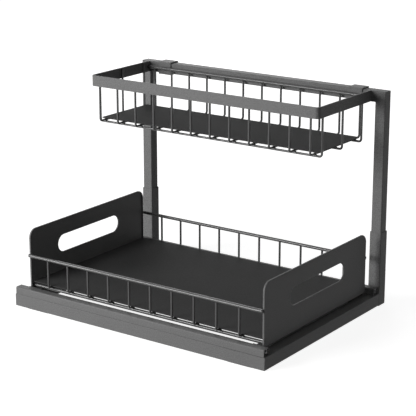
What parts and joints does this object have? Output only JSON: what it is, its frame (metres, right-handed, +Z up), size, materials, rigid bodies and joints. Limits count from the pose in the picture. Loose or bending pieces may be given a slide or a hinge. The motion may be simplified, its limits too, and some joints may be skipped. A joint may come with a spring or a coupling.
{
  "type": "pull out cabinet basket",
  "caption": "Two-level graphite steel cabinet organiser: a wire tray with slotted end panels that slides out sideways on hidden ball slides, under a narrow wire basket on telescoping posts.",
  "frame": {"origin": "middle of the overall box on the shelf the base stands on", "axes": "+X is the way the tray pulls out, +Y is the post side, +Z is up"},
  "size_m": [0.43, 0.325, 0.3168],
  "materials": {
    "graphite_coat": "satin graphite powder coat on steel tube and sheet",
    "wire_coat": "the same coat on wire, a little glossier",
    "mat_rubber": "matt black sheet",
    "zinc_steel": "zinc plated sheet steel",
    "bright_steel": "bright plated steel",
    "black_nylon": "matt black nylon"
  },
  "bodies": {
    "base": {"front_beam": "graphite_coat", "rear_beam": "graphite_coat", "end_beam_left": "graphite_coat", "end_beam_right": "graphite_coat", "post_sleeve_left": "graphite_coat", "post_sleeve_right": "graphite_coat", "sleeve_foot_left": "black_nylon", "sleeve_foot_right": "black_nylon", "clamp_boss_left": "graphite_coat", "clamp_boss_right": "graphite_coat", "clamp_screw_left": "bright_steel", "clamp_screw_right": "bright_steel", "front_pads": "black_nylon", "fixing_tabs": "zinc_steel", "fixed_rail_front": "zinc_steel", "fixed_rail_rear": "zinc_steel"},
    "cage_front": {"ball_cage_front": "zinc_steel", "slide_balls_front": "bright_steel"},
    "cage_rear": {"ball_cage_rear": "zinc_steel", "slide_balls_rear": "bright_steel"},
    "tray": {"slide_channel_front": "zinc_steel", "slide_channel_rear": "zinc_steel", "tray_rail_front": "graphite_coat", "tray_rail_rear": "graphite_coat", "tray_panel_left": "graphite_coat", "tray_panel_right": "graphite_coat", "tray_rivets": "bright_steel", "tray_top_wire_front": "wire_coat", "tray_top_wire_rear": "wire_coat", "tray_cross_wires": "wire_coat", "tray_long_wires": "wire_coat", "tray_mat": "mat_rubber"},
    "upper": {"upper_post_left": "graphite_coat", "upper_post_right": "graphite_coat", "post_plug_left": "black_nylon", "post_plug_right": "black_nylon", "crossrail": "graphite_coat", "hook_bracket_left": "graphite_coat", "hook_bracket_right": "graphite_coat", "hook_screws": "bright_steel", "basket_rim": "graphite_coat", "basket_back_wire": "wire_coat", "basket_cross_wires": "wire_coat", "basket_long_wires": "wire_coat", "basket_mat": "mat_rubber"}
  },
  "joints": [
    {"name": "tray_slide", "type": "slide", "parent": "base", "child": "tray", "axis": [1, 0, 0], "range_m": [0, 0.3]},
    {"name": "cage_front_slide", "type": "slide", "parent": "base", "child": "cage_front", "axis": [1, 0, 0], "range_m": [0, 0.15]},
    {"name": "cage_rear_slide", "type": "slide", "parent": "base", "child": "cage_rear", "axis": [1, 0, 0], "range_m": [0, 0.15]},
    {"name": "height_slide", "type": "slide", "parent": "base", "child": "upper", "axis": [0, 0, 1], "range_m": [-0.045, 0.02]}
  ],
  "couplings": [
    {"joint": "cage_front_slide", "follows": "tray_slide", "ratio": 0.5},
    {"joint": "cage_rear_slide", "follows": "tray_slide", "ratio": 0.5}
  ]
}
